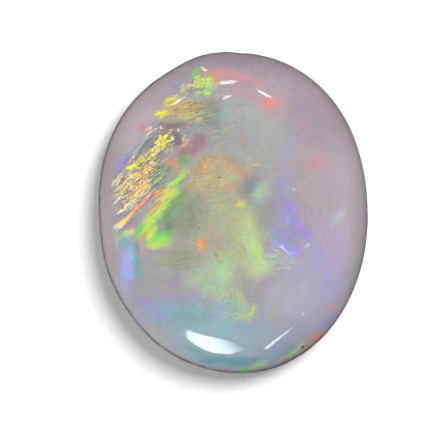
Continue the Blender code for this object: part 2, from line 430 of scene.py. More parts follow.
        ("pear tail glow", 0.96, -2.00, 0.46, 0.32, 0, "cream", 0.22, "haze"),
        ("pear wash", 0.00, -1.90, 1.00, 0.50, 0, "olive", 0.6, "haze"),
        ("mint cloud", -0.45, -2.15, 0.70, 0.44, 60, "mint", 0.80, "haze"),
        ("mint heart", -0.40, -2.30, 0.36, 0.22, 80, "mint", 0.9, "haze"),
        ("mint wash", -1.30, -2.30, 0.60, 0.40, 20, "mint", 0.35, "haze"),
        ("olive left", -1.90, -1.70, 0.90, 0.50, 10, "olive", 0.5, "weft"),
        ("fern veil", -1.55, 0.00, 0.80, 0.50, 80, "fern", 0.6, "haze"),
        ("fern veil low", -1.95, -1.70, 0.70, 0.40, 0, "fern", 0.5, "haze"),
        ("teal wash", 0.05, -3.60, 0.60, 0.40, 60, "teal", 0.4, "haze"),
        ("gold crumb glow", 0.30, -3.30, 0.60, 0.26, -60, "pear", 0.45, "haze"),
        ("gold crumbs", 0.22, -3.12, 0.60, 0.26, -66, "straw", 0.9, "fan thread"),
        ("gold crumbs below", 0.60, -3.66, 0.62, 0.26, 48, "lime", 0.8, "comb thread"),
        ("gold crumbs beside", 0.45, -3.80, 0.50, 0.30, -20, "straw", 0.7, "fan thread"),
        ("gold edge", 0.72, -3.58, 0.28, 0.05, 58, "straw", 0.8, "line"),
        ("mint crumbs", -0.30, -3.10, 0.95, 0.55, -30, "pear", 1.0, "fan thread"),
        ("mint crumbs below", 0.00, -3.80, 0.66, 0.40, 0, "pear", 0.9, "comb thread"),
    ),
    "violet right half": (
        ("heather run", 1.80, 0.55, 0.90, 0.34, 100, "heather", 0.8, "haze"),
        ("heather head", 1.92, 1.10, 0.36, 0.22, 10, "violet", 0.5, "fan"),
        ("violet run", 2.16, 0.02, 0.50, 0.17, 112, "violet", 0.85, "haze"),
        ("blue heart", 2.02, -0.36, 0.22, 0.14, 30, "blue", 0.9, "fan"),
        ("violet wing", 2.58, -0.72, 0.62, 0.22, -52, "violet", 1.0, "haze"),
        ("heather wash", 1.90, -0.85, 0.70, 0.55, 0, "heather", 0.6, "haze"),
        ("violet spot left", 1.62, -0.70, 0.26, 0.22, 90, "violet", 0.5, "haze"),
        ("blue run", 1.80, -1.25, 0.56, 0.13, -24, "blue", 0.8, "haze"),
        ("blue run end", 2.32, -1.45, 0.42, 0.14, 20, "blue", 0.55, "haze"),
        ("white thread", 1.86, -1.36, 0.32, 0.03, -28, "white", 0.8, "line"),
        ("white thread beside", 1.60, -1.42, 0.22, 0.03, -30, "white", 0.6, "line"),
        ("pink glint", 2.74, -1.20, 0.12, 0.09, 60, "white", 0.4, "haze"),
        ("silver wash", 1.70, -1.72, 0.80, 0.44, -16, "bay", 0.35, "weft"),
        ("silver thread", 1.95, -2.02, 0.36, 0.03, -16, "cream", 0.3, "line"),
        ("silver thread above", 1.40, -1.62, 0.34, 0.03, -12, "cream", 0.3, "line"),
        ("pale tick", 2.24, 0.86, 0.12, 0.03, 45, "cream", 0.4, "line"),
        ("pale tick low", 2.58, -3.70, 0.12, 0.04, -55, "white", 0.6, "line"),
        ("pale tick right", 2.72, -2.22, 0.12, 0.05, 45, "pale_milk", 0.7, "line"),
        ("pale patch", 3.92, -0.10, 0.40, 0.20, 50, "pale_milk", 0.8, "haze"),
        ("lavender glow", 3.25, -1.80, 0.60, 0.34, 100, "violet", 0.35, "haze"),
        ("mauve glow", 3.60, -2.50, 0.90, 0.45, 80, "violet", 0.35, "haze"),
        ("lilac streak", 2.50, -4.20, 0.90, 0.26, 42, "storm", 0.5, "haze"),
        ("sand foot", 1.62, -3.70, 0.60, 0.24, 90, "sand", 0.4, "haze"),
        ("slate run", 2.15, 2.50, 0.80, 0.26, 80, "heather", 0.35, "haze"),
    ),
    "upper right": (
        ("rose halo", 1.42, 4.02, 0.48, 0.36, 0, "rose", 0.8, "haze"),
        ("rose wing", 1.80, 4.16, 0.30, 0.18, -30, "rose", 0.35, "haze"),
        ("rose tail below", 1.46, 3.66, 0.34, 0.18, 95, "rose", 0.7, "haze"),
        ("coral spot", 1.32, 4.06, 0.26, 0.16, 5, "coral", 0.7, "haze"),
        ("coral heart", 1.42, 4.08, 0.16, 0.10, 30, "coral", 0.8, "haze"),
        ("ochre wisp", 0.75, 4.30, 0.34, 0.10, -10, "ochre", 0.45, "brush"),
        ("rose patch", 3.18, 1.85, 0.46, 0.34, 0, "rose", 0.50, "haze"),
        ("rose patch veil", 2.80, 1.80, 0.90, 0.60, 0, "rose", 0.30, "mist"),
        ("rose patch above", 3.05, 2.40, 0.30, 0.22, 60, "rose", 0.3, "haze"),
        ("blush", 2.60, 3.34, 0.26, 0.18, 30, "rose", 0.35, "haze"),
    ),
    "along the lower edge": (
        ("lagoon band", -0.35, -5.50, 1.30, 0.20, -4, "lagoon", 0.95, "haze"),
        ("lagoon band right", 0.55, -5.50, 0.70, 0.20, 6, "lagoon", 0.7, "haze"),
        ("sea streak", -1.42, -5.10, 0.50, 0.14, -26, "teal", 0.7, "haze"),
        ("bay corner", 1.60, -5.10, 0.80, 0.36, 38, "storm", 0.6, "haze"),
        ("green flash", 0.42, -5.87, 0.34, 0.10, 3, "green", 1.0, "blade"),
        ("pale green flash", 1.00, -5.66, 0.38, 0.12, 18, "mint", 0.9, "haze"),
        ("teal streak", 1.90, -5.20, 0.80, 0.14, 33, "teal", 0.6, "haze"),
        ("pear streak", 2.30, -5.14, 0.70, 0.07, 33, "pear", 0.6, "line"),
        ("straw streak", 2.00, -5.34, 0.50, 0.04, 30, "straw", 0.6, "line"),
        ("sand rim", 2.90, -4.84, 0.60, 0.16, 38, "sand", 0.8, "haze"),
        ("mint rim", 2.50, -4.92, 0.26, 0.08, 30, "mint", 0.6, "haze"),
        ("orange rim", 3.46, -4.34, 0.16, 0.06, 45, "orange", 0.5, "haze"),
        ("salmon rim", 3.16, -4.58, 0.30, 0.10, 18, "salmon", 0.95, "haze"),
        ("violet rim", 3.40, -4.16, 0.42, 0.20, 40, "heather", 0.9, "haze"),
        ("salmon ring", 3.72, -3.62, 0.32, 0.12, -28, "pink", 0.8, "haze"),
        ("violet ring heart", 3.72, -3.84, 0.22, 0.10, 30, "heather", 0.8, "haze"),
    ),
    "fibres through everything": (
        ("mottling", -0.4, -0.2, 7.0, 5.4, 90, "cloud hues", 0.35, "mist"),
        ("comb fibres", -3.2, 0.9, 2.6, 1.7, 48, "comb hues", 0.8, "mist"),
        ("head fibres", -1.3, 3.6, 2.9, 1.9, 5, "brush hues", 0.7, "mist"),
        ("middle fibres", -0.2, 1.0, 2.8, 2.6, 0, "weft hues", 0.35, "mist"),
        ("olive fibres", -1.2, 0.2, 2.2, 2.2, 0, "brush hues", 0.35, "mist"),
        ("fan fibres", 0.3, -1.5, 1.9, 1.6, 80, "fan hues", 0.4, "mist"),
        ("violet fibres", 2.2, -1.2, 2.0, 1.8, 0, "weft hues", 0.3, "mist"),
        ("right fibres", 2.9, 0.6, 2.6, 1.4, 88, "upright hues", 0.25, "mist"),
        ("foot fibres", -0.2, -3.6, 4.0, 1.9, 0, "weft hues", 0.35, "mist"),
        ("grit of the ridge", -2.9, 2.3, 1.3, 0.5, 42, "smoke", 0.8, "crackle"),
        ("grit of the gold", -3.4, 1.2, 1.2, 0.7, 40, "smoke", 0.6, "crackle"),
        ("comb gaps", -3.4, 1.1, 2.0, 1.2, 45, "smoke", 0.85, "comb gap"),
        ("comb threads", -3.5, 0.9, 1.9, 1.1, 45, "cream", 0.95, "comb thread"),
        ("ridge glints", -2.9, 2.3, 1.1, 0.4, 42, "cream", 0.50, "comb thread"),
        ("bar glints", -2.7, 0.2, 1.3, 0.5, 54, "pear", 0.60, "comb thread"),
        ("bar gaps", -2.6, 0.0, 1.5, 0.7, 54, "pine", 0.40, "comb gap"),
        ("corner grit", -1.2, 4.8, 0.8, 0.6, 0, "slate", 0.5, "crackle"),
        ("head gaps", -1.5, 3.7, 1.8, 0.9, 5, "fern", 0.95, "brush gap"),
        ("head threads", -1.8, 3.8, 1.5, 0.8, 5, "straw", 0.5, "brush thread"),
        ("olive gaps", -1.4, 1.4, 1.7, 1.3, 5, "slate", 0.45, "brush gap"),
        ("olive threads", -0.8, 1.4, 1.5, 1.1, 5, "straw", 0.65, "brush thread"),
        ("sand flecks", -0.4, 1.2, 1.4, 1.0, 0, "ochre", 0.45, "weft gap"),
        ("crown gaps", -1.0, 3.0, 1.4, 0.9, -20, "fern", 0.95, "weft gap"),
        ("left gaps", -2.0, -1.9, 1.4, 0.8, 0, "fern", 0.9, "brush gap"),
        ("left threads", -2.0, -1.8, 1.3, 0.7, 0, "sand", 0.7, "brush thread"),
        ("silver threads", 1.75, -1.76, 1.1, 0.7, -16, "cream", 0.35, "brush thread"),
        ("foot threads", 1.4, -2.7, 1.4, 0.9, 10, "pale_milk", 0.40, "brush thread"),
    ),
    "dark specks": (
        ("speck high", -0.54, 1.35, 0.06, 0.05, 0, "pit", 0.9, "line"),
        ("speck low", 2.61, -5.00, 0.06, 0.05, 0, "pit", 0.9, "line"),
        ("speck middle", -1.30, -0.57, 0.05, 0.04, 0, "pit", 0.5, "line"),
        ("speck foot", -0.60, -1.55, 0.05, 0.04, 0, "pit", 0.4, "line"),
    ),
}

# The bright shapes that the dome mirrors. Each is a strip: cross-sections from one end to the
# other, each from an upper to a lower point on the dome, with x and y in mm and a brightness.
REFLECTIONS = {
    "window": (
        ((-1.72, -4.34, 0.50), (-1.74, -4.60, 0.40)),
        ((-1.60, -4.37, 0.62), (-1.62, -4.72, 0.55)),
        ((-1.45, -4.43, 0.70), (-1.47, -4.84, 0.62)),
        ((-1.22, -4.49, 0.75), (-1.27, -4.97, 0.68)),
        ((-0.97, -4.56, 0.75), (-1.02, -5.09, 0.72)),
        ((-0.72, -4.61, 0.60), (-0.78, -5.18, 0.72)),
        ((-0.48, -4.65, 0.45), (-0.53, -5.21, 0.70)),
        ((-0.24, -4.71, 0.30), (-0.28, -5.23, 0.62)),
        ((0.00, -4.82, 0.20), (-0.02, -5.22, 0.50)),
        ((0.18, -4.92, 0.12), (0.15, -5.15, 0.32)),
        ((0.46, -5.00, 0.05), (0.43, -5.05, 0.08)),
    ),
    "top_arc": (
        ((-0.52, 4.80, 0.25), (-0.52, 4.75, 0.25)),
        ((-0.46, 4.84, 0.50), (-0.46, 4.735, 0.50)),
        ((-0.30, 4.885, 0.58), (-0.30, 4.74, 0.58)),
        ((-0.10, 4.895, 0.58), (-0.10, 4.76, 0.58)),
        ((0.05, 4.87, 0.50), (0.05, 4.775, 0.50)),
        ((0.15, 4.83, 0.25), (0.15, 4.80, 0.25)),
    ),
    "small_arc": (
        ((-0.41, 4.235, 0.25), (-0.39, 4.18, 0.25)),
        ((-0.33, 4.28, 0.55), (-0.30, 4.18, 0.55)),
        ((-0.20, 4.335, 0.55), (-0.17, 4.235, 0.55)),
        ((-0.06, 4.345, 0.25), (-0.06, 4.30, 0.25)),
    ),
    "right_slip": (
        ((0.92, 4.55, 0.25), (0.89, 4.50, 0.25)),
        ((1.02, 4.495, 0.78), (0.99, 4.43, 0.78)),
        ((1.18, 4.405, 0.78), (1.145, 4.34, 0.78)),
        ((1.34, 4.315, 0.78), (1.305, 4.255, 0.78)),
        ((1.43, 4.265, 0.35), (1.40, 4.22, 0.35)),
    ),
    "left_slip": (
        ((-2.28, 4.01, 0.35), (-2.26, 3.97, 0.35)),
        ((-2.05, 4.15, 0.75), (-2.02, 4.09, 0.75)),
        ((-1.80, 4.29, 0.60), (-1.77, 4.24, 0.60)),
    ),
    "long_slip": (
        ((1.13, -5.03, 0.25), (1.19, -5.09, 0.25)),
        ((1.24, -4.94, 0.58), (1.30, -5.02, 0.58)),
        ((1.49, -4.74, 0.58), (1.54, -4.81, 0.58)),
        ((1.74, -4.55, 0.48), (1.79, -4.61, 0.48)),
        ((1.99, -4.36, 0.28), (2.03, -4.41, 0.28)),
        ((2.35, -4.06, 0.07), (2.38, -4.10, 0.07)),
        ((2.52, -3.96, 0.00), (2.53, -3.98, 0.00)),
    ),
}
REFLECTOR_DISTANCE = 90.0 * MM
STRIP_STEPS = 6  # how many faces lie along and across each section of a strip
GLOW_TINT = (0.88, 0.95, 1.0)  # daylight, a little blue

# Faint flashes that run through the whole depth of the stone and show on its flank and back:
# where in the noise each is taken from, paint, strength
DEEP_FLASHES = (
    (0.0, "teal", 0.55),
    (7.3, "rose", 0.45),
    (15.1, "pear", 0.50),
    (23.9, "violet", 0.45),
    (31.7, "ochre", 0.40),
)


class Board:
    """A material's nodes. Everything but arithmetic is added with its one method, add."""

    def __init__(self, tree):
        self.tree = tree

    def add(self, kind, settings=None, values=None, output=0):
        """Adds a node, sets it up, fills its sockets, and gives one of its outputs as a wire."""
        node = self.tree.nodes.new(kind)
        for name, setting in (settings or {}).items():
            setattr(node, name, setting)
        for name, value in (values or {}).items():
            socket = node.inputs[name]
            if isinstance(value, Wire):
                self.tree.links.new(value.socket, socket)
            else:
                socket.default_value = value
        return None if output is None else Wire(self, node.outputs[output])

    def sum(self, operation, first, second=0.0):
        """Works on two values, or on the first one alone."""
        return self.add("ShaderNodeMath", {"operation": operation}, {0: first, 1: second})

    def mix(self, factor, under, over, mode="MIX"):
        """Lays the colour over on the colour under."""
        settings = {"data_type": "RGBA", "blend_type": mode}
        return self.add("ShaderNodeMix", settings, {0: factor, 6: under, 7: over}, output=2)

    def vector(self, operation, first, second):
        """Works on two vectors; a number as the second one scales the first."""
        name = "Scale" if operation == "SCALE" else 1
        output = "Value" if operation == "DOT_PRODUCT" else "Vector"
        values = {0: first, name: second}
        return self.add("ShaderNodeVectorMath", {"operation": operation}, values, output)

    def rise(self, value, low, high, full=1.0):
        """Nothing up to low, then smoothly up to full at high."""
        values = {"Value": value, "From Min": low, "From Max": high, "To Min": 0.0, "To Max": full}
        settings = {"interpolation_type": "SMOOTHSTEP", "clamp": False}
        return self.add("ShaderNodeMapRange", settings, values)


class Wire:
    """A node's output that can be used in Python arithmetic."""

    def __init__(self, board, socket):
        self.board = board
        self.socket = socket

    def __add__(self, other):
        return self.board.sum("ADD", self, other)

    __radd__ = __add__

    def __sub__(self, other):
        return self.board.sum("SUBTRACT", self, other)

    def __rsub__(self, other):
        return self.board.sum("SUBTRACT", other, self)

    def __mul__(self, other):
        return self.board.sum("MULTIPLY", self, other)

    __rmul__ = __mul__


def length_setting(name, description, default, low, high, precision=4):
    """A length in metres that the user can set."""
    return FloatProperty(
        name=name,
        description=description,
        default=default,
        min=low,
        max=high,
        unit="LENGTH",
        precision=precision,
    )


def share_setting(name, description, default):
    """A share from 0 to 1 that the user can set."""
    return FloatProperty(
        name=name, description=description, default=default, min=0.0, max=1.0, subtype="FACTOR"
    )


def light_setting(name, description, default, unit="NONE"):
    """A power or a brightness that the user can set."""
    return FloatProperty(
        name=name, description=description, default=default, min=0.0, unit=unit, precision=3
    )


def colour_setting(name, description, default):
    """A colour, as linear RGBA, that the user can set."""
    return FloatVectorProperty(
        name=name, description=description, default=default, min=0.0, max=1.0, size=4, subtype="COLOR"
    )


class StoneSizes(bpy.types.PropertyGroup):
    """Sizes of the stone and of its mesh."""

    length: length_setting("Length", "From foot to head, along Y", 12.0 * MM, 4.0 * MM, 40.0 * MM)
    width: length_setting("Width", "Across the stone, along X", 10.0 * MM, 4.0 * MM, 40.0 * MM)
    height: length_setting("Height", "From the back to the crown", 3.6 * MM, 1.5 * MM, 15.0 * MM)
    shoulder: FloatProperty(
        name="Shoulder",
        description="Fullness of the dome; 2 is a plain half ellipse",
        default=2.6,
        min=1.5,
        max=5.0,
    )
    edge_round: length_setting(
        "Edge rounding", "How far bevel and girdle are worn round", 0.05 * MM, 0.0, 0.1 * MM, 5
    )
    hand_polish: length_setting(
        "Hand polish", "Height of the soft waves in the dome", 0.003 * MM, 0.0, 0.1 * MM, 6
    )
    segments: IntProperty(
        name="Segments", description="Faces round the stone", default=320, min=24, max=400
    )
    dome_rings: IntProperty(
        name="Dome rings", description="Faces from girdle to crown", default=120, min=8, max=200
    )


class StoneLooks(bpy.types.PropertyGroup):
    """Colours and finish of the opal."""

    body_colour: colour_setting("Body", "The milky body between the flashes", PALETTE["milk"])
    # Rim colour: partly the stone's own tan edge, partly painted light on the lower left flank
    rim_tint_and_painted_light: colour_setting("Rim", "The warm, thin edge on the left", PALETTE["tan_rim_and_painted_light"])
    # Girdle colour: partly the ground girdle's own duller tone, partly painted shade along the steep
    # edge
    girdle_and_edge_shade_colour: colour_setting("Girdle", "The line round the widest part", PALETTE["girdle"])
    flash_strength: share_setting("Flashes", "How strongly they cover the milky body", 1.0)
    polish_roughness: share_setting("Polish", "Roughness of the polished dome", 0.05)
    ground_roughness: share_setting("Ground finish", "Roughness of the girdle and the back", 0.42)
    milkiness: length_setting(
        "Milkiness", "How far light spreads inside the stone", 0.9 * MM, 0.0, 10.0 * MM, 5
    )


class StudioSettings(bpy.types.PropertyGroup):
    """The table and its lights."""

    table_colour: colour_setting("Table", "The pale table", (0.93, 0.93, 0.93, 1.0))
    key_power: light_setting("Key light", "The large soft light on the upper right", 0.238, "POWER")
    side_power: light_setting("Side light", "The low light on the lower left", 0.080, "POWER")
    sky: light_setting("Fill", "Brightness of the soft light from all round", 0.385)
    reflection: light_setting("Reflections", "Brightness of what the dome mirrors", 26.0)


def swell(angle, share=0.0):
    """How far a ring of this share stands out at an angle in radians, as a factor on the oval."""
    factor = 1.0
    lumps = [(*lump, 1.0) for lump in SWELLS] + [(*nick, share**24) for nick in NICKS]
    for direction, rise, reach, weight in lumps:
        away = (math.degrees(angle) - direction + 180.0) % 360.0 - 180.0
        if abs(away) < reach:
            factor += weight * rise * math.cos(math.pi / 2 * away / reach) ** 2
    return factor


def girdle_lift(sizes, angle, height):
    """The lift that a ring gets at an angle: all of it at the girdle, none at back or crown."""
    if height < GIRDLE_BOTTOM:
        weight = height / GIRDLE_BOTTOM
    else:
        weight = min(1.0, (sizes.height - height) / (sizes.height - GIRDLE_TOP))
    return GIRDLE_TILT * weight * math.cos(angle - math.radians(GIRDLE_HIGH_SIDE))


def rounded(corners, size, scale, steps=4):
    """The profile through (share, height) corners, with each inner one worn round."""
    path = [corners[0]]
    for before, corner, after in zip(corners, corners[1:], corners[2:]):
        ends = []
        for other in (before, after):
            reach = math.hypot((other[0] - corner[0]) * scale, other[1] - corner[1])
            part = min(size, reach * 0.45) / reach
            ends.append([c + (o - c) * part for c, o in zip(corner, other)])
        start, end = ends
        for step in range(steps + 1):
            t = step / steps
            path.append(
                tuple(
                    (1 - t) ** 2 * a + 2 * t * (1 - t) * c + t**2 * b
                    for a, c, b in zip(start, corner, end)
                )
            )
    path.append(corners[-1])
    return path


def profile(sizes):
    """(share of the outline, height) of each ring, from the middle of the back to the crown."""
    corners = [
        (0.70, 0.0),
        (BACK_SHARE, 0.0),
        (BEVEL_SHARE, BEVEL_TOP),
        (1.0, GIRDLE_BOTTOM),
        (1.0, GIRDLE_TOP),
    ]
    rings = [(0.10 * step, 0.0) for step in range(1, 7)]
    rings += rounded(corners, sizes.edge_round, sizes.width / 2)
    dome_height = sizes.height - GIRDLE_TOP
    for step in range(1, sizes.dome_rings):
        turn = math.pi / 2 * step / sizes.dome_rings
        rings.append((math.cos(turn) ** (2 / sizes.shoulder), GIRDLE_TOP + dome_height * math.sin(turn)))
    return rings


def polish_wave(sizes, x, y, share):
    """The soft unevenness of the dome, gone at the girdle."""
    place = Vector((x, y, 0.0)) / (2.6 * MM)
    return sizes.hand_polish * noise.noise(place) * (1.0 - share**6)


def build_stone(sizes):
    """The fine closed mesh of the stone."""
    bm = bmesh.new()
    rings = []
    for share, height in profile(sizes):
        ring = []
        for segment in range(sizes.segments):
            angle = 2 * math.pi * segment / sizes.segments
            reach = share * swell(angle, share)
            x = sizes.width / 2 * reach * math.cos(angle)
            y = sizes.length / 2 * reach * math.sin(angle)
            z = height + girdle_lift(sizes, angle, height)
            if height > GIRDLE_TOP:
                z += polish_wave(sizes, x, y, share)
            ring.append(bm.verts.new((x, y, z)))
        rings.append(ring)
    for lower, upper in zip(rings, rings[1:]):
        for segment in range(sizes.segments):
            after = (segment + 1) % sizes.segments
            bm.faces.new((lower[segment], lower[after], upper[after], upper[segment]))
    for ring, height in ((rings[0], 0.0), (rings[-1], sizes.height)):
        middle = bm.verts.new((0.0, 0.0, height))
        for segment in range(sizes.segments):
            after = (segment + 1) % sizes.segments
            bm.faces.new((ring[segment], ring[after], middle))
    bmesh.ops.recalc_face_normals(bm, faces=bm.faces)
    mesh = bpy.data.meshes.new("opal_stone")
    bm.to_mesh(mesh)
    bm.free()
    mesh.shade_smooth()
    return mesh


def dome_height(sizes, x, y):
    """Height of the dome over a point in metres."""
    angle = math.atan2(y / sizes.length, x / sizes.width)
    share = math.hypot(2 * x / sizes.width, 2 * y / sizes.length) / swell(angle)
    rise = math.sqrt(max(0.0, 1.0 - min(1.0, share) ** sizes.shoulder))
    height = GIRDLE_TOP + (sizes.height - GIRDLE_TOP) * rise
    return height + girdle_lift(sizes, angle, height) + polish_wave(sizes, x, y, share)


def dome_normal(sizes, x, y):
    """Direction that the dome faces over a point in metres."""
    step = 0.01 * MM
    across = dome_height(sizes, x + step, y) - dome_height(sizes, x - step, y)
    along = dome_height(sizes, x, y + step) - dome_height(sizes, x, y - step)
    return Vector((-across / (2 * step), -along / (2 * step), 1.0)).normalized()


def play_inputs(board, mm):
    """What the flashes share: warped places, grains between about -1 and 1, and fibre colours."""

    def noise_at(vector, scale, detail, output=0):
        values = {"Vector": vector, "Scale": scale, "Detail": detail, "Roughness": 0.65}
        return board.add("ShaderNodeTexNoise", {}, values, output)

    def grain(vector, scale, detail, contrast):
        return (noise_at(vector, scale, detail) - 0.5) * contrast

    def lines(fibres, middle):
        """Thin lines where a fibrous grain passes the given middle."""
        return board.sum("ABSOLUTE", fibres - middle) * LINE_FALL

    def drifted(scale, detail, reach):
        """The place as seen from above, moved a little by noise."""
        drift = board.vector("SUBTRACT", noise_at(mm, scale, detail, "Color"), (0.5, 0.5, 0.5))
        moved = board.vector("ADD", mm, board.vector("SCALE", drift, reach))
        return board.add("ShaderNodeMapping", {}, {"Vector": moved, "Scale": (1.0, 1.0, 0.0)})

    def cells(feature):
        return board.add("ShaderNodeTexVoronoi", {"feature": feature}, {"Vector": still, "Scale": 8.0})

    still = drifted(scale=2.2, detail=6.0, reach=0.45)
    combed = drifted(scale=0.7, detail=2.0, reach=0.16)
    clouds = grain(still, scale=2.4, detail=6.0, contrast=4.0)
    dust = grain(still, scale=12.0, detail=2.0, contrast=4.0)
    found = {
        "clouds": clouds,
        "dust": dust,
        "weave": clouds * 0.6 + dust * 0.5,
        "sparks": dust * 0.7 + (0.42 - cells("F1")) * 2.0,
        "crackle": cells("DISTANCE_TO_EDGE") * -7.0,
        "still spot": still,
        "cloud hues": noise_at(still, 2.2, 6.0, "Color"),
    }
    for name, (direction, along, across, reach) in FIBRES.items():
        turn = math.radians(direction)
        place = {"Vector": combed, "Rotation": (0.0, 0.0, turn), "Scale": (along, across, 1.0)}
        lined = board.add("ShaderNodeMapping", {"vector_type": "TEXTURE"}, place)
        fibres = grain(lined, scale=1.0, detail=3.0, contrast=4.5)
        heading = board.vector("SCALE", (math.cos(turn), math.sin(turn), 0.0), fibres * reach)
        found[name] = fibres
        found[name + " spot"] = board.vector("ADD", still, heading)
        found[name + " hues"] = noise_at(lined, 1.7, 3.0, "Color")
        for mark, middle in LINE_MIDDLES.items():
            if name + mark in KINDS:
                found[name + mark] = lines(fibres, middle)
    return found


def flash_group(region, flashes):
    """A node group that lays a region's flashes on the colour it is given."""
    tree = bpy.data.node_groups.new(region, "ShaderNodeTree")
    sockets = {"Colour": "NodeSocketColor", "cloud hues": "NodeSocketColor"}
    sockets["still spot"] = "NodeSocketVector"
    for name in FIBRES:
        sockets[name + " spot"] = "NodeSocketVector"
        sockets[name + " hues"] = "NodeSocketColor"
    sockets |= {kind: "NodeSocketFloat" for kind in KINDS}
    for name, socket_type in sockets.items():
        tree.interface.new_socket(name, in_out="INPUT", socket_type=socket_type)
    tree.interface.new_socket("Colour", in_out="OUTPUT", socket_type="NodeSocketColor")
    board = Board(tree)
    entry = board.add("NodeGroupInput").socket.node
    given = {name: Wire(board, entry.outputs[name]) for name in sockets}
    colour = given["Colour"]
    # The colours beneath shift the region by a hair. So Cycles works the regions out one after the
    # other, and doesn't run out of room for a material with this many flashes.
    spots = {}
    for warp in {KINDS[flash[-1]][1]: None for flash in flashes}:
        values = {0: colour, 1: (COLOUR_SHIFT, COLOUR_SHIFT, 0.0), 2: given[warp + " spot"]}
        spots[warp] = board.add("ShaderNodeVectorMath", {"operation": "MULTIPLY_ADD"}, values)
    for _, x, y, long, wide, direction, paint_name, strength, kind in flashes:
        spread, warp, _, _, low, high = KINDS[kind]
        place = {
            "Vector": spots[warp],
            "Location": (x, y, 0.0),
            "Rotation": (0.0, 0.0, math.radians(direction)),
            "Scale": (long * spread, wide * spread, 1000.0),
        }
        local = board.add("ShaderNodeMapping", {"vector_type": "TEXTURE"}, place)
        mask = board.add("ShaderNodeTexGradient", {"gradient_type": "SPHERICAL"}, {"Vector": local}, 1)
        amount = board.rise(mask * given[kind], low, high, strength)
        if paint_name in PALETTE:
            colour = board.mix(amount, colour, PALETTE[paint_name])
        else:
            colour = board.mix(amount, colour, given[paint_name], "OVERLAY")
    board.add("NodeGroupOutput", {}, {"Colour": colour}, None)
    return tree


def play_of_colour(board, looks, mm):
    """The milky body with every region's flashes laid on it, one after the other."""
    found = play_inputs(board, mm)
    given = {name: wire for name, wire in found.items() if name.endswith(("spot", "hues"))}
    for kind, (_, _, grain, amount, _, _) in KINDS.items():
        given[kind] = found[grain] * amount + 1.0
    body = tuple(looks.body_colour)
    colour = body
    for region, flashes in FLASHES.items():
        group = flash_group(region, flashes)
        colour = board.add("ShaderNodeGroup", {"node_tree": group}, given | {"Colour": colour})
    return board.mix(looks.flash_strength, body, colour)


def deep_colour(board, looks, mm):
    """The milk of the flank and the back: cloudy, with faint flashes that run through the stone."""

    def depths(offset, scale):
        moved = board.vector("ADD", mm, (offset, offset, offset))
        values = {"Vector": moved, "Scale": scale, "Detail": 6.0, "Roughness": 0.62}
        return board.add("ShaderNodeTexNoise", {}, values)

    colour = board.mix(board.rise(depths(3.1, 0.5), 0.40, 0.62), looks.body_colour, PALETTE["potch"])
    for offset, paint_name, strength in DEEP_FLASHES:
        amount = board.rise(depths(offset, 0.7), 0.52, 0.70, strength)
        colour = board.mix(amount, colour, PALETTE[paint_name])
    return colour


def opal_material(looks):
    """Milky opal with play of colour: polished on the dome, ground on the girdle and the back."""
    material = bpy.data.materials.new("polished_opal")
    material.use_nodes = True
    tree = material.node_tree
    tree.nodes.clear()
    board = Board(tree)
    here = board.add("ShaderNodeTexCoord", output="Object")
    mm = board.vector("SCALE", here, 1 / MM)
    height = board.add("ShaderNodeSeparateXYZ", {}, {"Vector": mm}, "Z")
    to_the_left = board.vector("DOT_PRODUCT", mm, WARM_SIDE)
    # Seen from above the flashes reach to the girdle; below it is the depth of the stone
    deep = deep_colour(board, looks, mm)
    colour = board.mix(board.rise(height, *PLAY_START), deep, play_of_colour(board, looks, mm))
    # The lower left rim is tinted tan and lightened: partly the stone's own edge, partly painted light
    # on the flank that the key light leaves darker
    warm_rim_and_painted_light = board.rise(to_the_left, *WARM_REACH) * (1.0 - board.rise(height, *WARM_END))
    colour = board.mix(warm_rim_and_painted_light * WARM_SHARE, colour, tuple(looks.rim_tint_and_painted_light))
    # Away from the warm side the edge has painted shade, a little darker than the dome
    shade = (1.0 - board.rise(to_the_left, *SHADE_REACH)) * (1.0 - board.rise(height, *SHADE_END))
    colour = board.mix(shade * SHADE_SHARE, colour, tuple(looks.girdle_and_edge_shade_colour))
    ground = 1.0 - board.rise(height, *GROUND_END)
    smears = board.add("ShaderNodeTexNoise", {}, {"Vector": mm, "Scale": 0.6, "Detail": 3.0})
    mottled = board.add("ShaderNodeTexNoise", {}, {"Vector": mm, "Scale": 3.2, "Detail": 6.0})
    patchy = board.rise(mottled, 0.35, 0.65, 0.3) + 0.7
    # The dark line round the girdle: partly the ground girdle's duller tone, partly painted shade along
    # the steep edge
    line = ground * board.rise(height, *GIRDLE_LINE_START) * patchy
    colour = board.mix(line, colour, tuple(looks.girdle_and_edge_shade_colour))
    lapping = {"Vector": mm, "Scale": 22.0, "Detail": 3.0, "Distortion": 0.6}
    grit = board.add("ShaderNodeTexNoise", {}, lapping)
    lapped = {"Strength": 0.5, "Distance": 0.006 * MM, "Height": grit}
    # Roughness, gloss and normal of the polished dome, then of the ground girdle and back
    finishes = (
        (smears * looks.polish_roughness + looks.polish_roughness * 0.5, 0.5, None),
        (smears * 0.2 + looks.ground_roughness, 0.2, board.add("ShaderNodeBump", {}, lapped)),
    )
    shaders = []
    for rough, gloss, normal in finishes:
        values = {
            "Base Color": colour,
            "Roughness": rough,
            "IOR": 1.45,
            "Specular IOR Level": gloss,
            "Subsurface Weight": 1.0,
            "Subsurface Radius": (1.0, 0.9, 0.8),
            "Subsurface Scale": looks.milkiness,
        }
        if normal:
            values["Normal"] = normal
        settings = {"subsurface_method": "RANDOM_WALK"}
        shaders.append(board.add("ShaderNodeBsdfPrincipled", settings, values, "BSDF"))
    surface = board.add("ShaderNodeMixShader", {}, {0: ground, 1: shaders[0], 2: shaders[1]})
    board.add("ShaderNodeOutputMaterial", {}, {"Surface": surface}, None)
    return material


